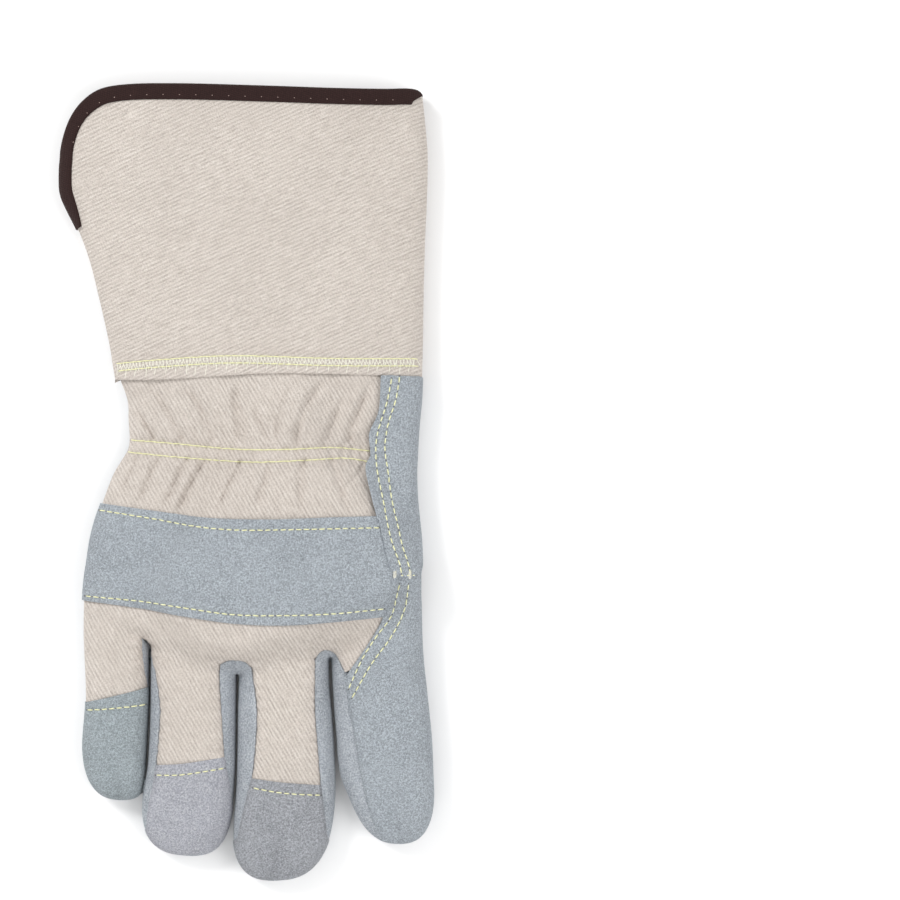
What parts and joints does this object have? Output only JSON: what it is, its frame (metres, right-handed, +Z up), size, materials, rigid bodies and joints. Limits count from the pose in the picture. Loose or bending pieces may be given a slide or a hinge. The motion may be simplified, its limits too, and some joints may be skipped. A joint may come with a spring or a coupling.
{
  "type": "leather gauntlet glove",
  "caption": "Right-hand work glove lying on its palm: suede leather palm, canvas back and long canvas gauntlet cuff.",
  "frame": {"origin": "on the floor under the middle of the glove's bounding box", "axes": "+Z up, +Y along the glove towards the cuff mouth, +X towards the thumb side, -Y towards the fingertips"},
  "size_m": [0.1478, 0.3112, 0.0309],
  "materials": {
    "canvas": "unbleached cotton twill, matt",
    "leather": "split cowhide suede, blue-grey, matt",
    "leather_green_grey": "split cowhide suede, greenish grey, matt",
    "leather_lavender_grey": "split cowhide suede, lavender grey, matt",
    "leather_dark_grey": "split cowhide suede, dark grey, matt",
    "binding": "dark brown woven binding tape, matt"
  },
  "bodies": {
    "root": {"gauntlet_cuff": "canvas", "cuff_binding": "binding", "canvas_back": "canvas", "knuckle_strap": "leather", "fingertip_pinky": "leather_green_grey", "fingertip_ring": "leather_lavender_grey", "fingertip_middle": "leather_dark_grey", "forchette_pinky_ring": "leather", "forchette_ring_middle": "leather", "forchette_middle_index": "leather", "palm_leather": "leather", "middle_ring_front": "leather", "finger_welt": "leather", "thumb_front": "leather", "thumb_back": "leather", "pulse_patch": "leather"}
  },
  "joints": []
}
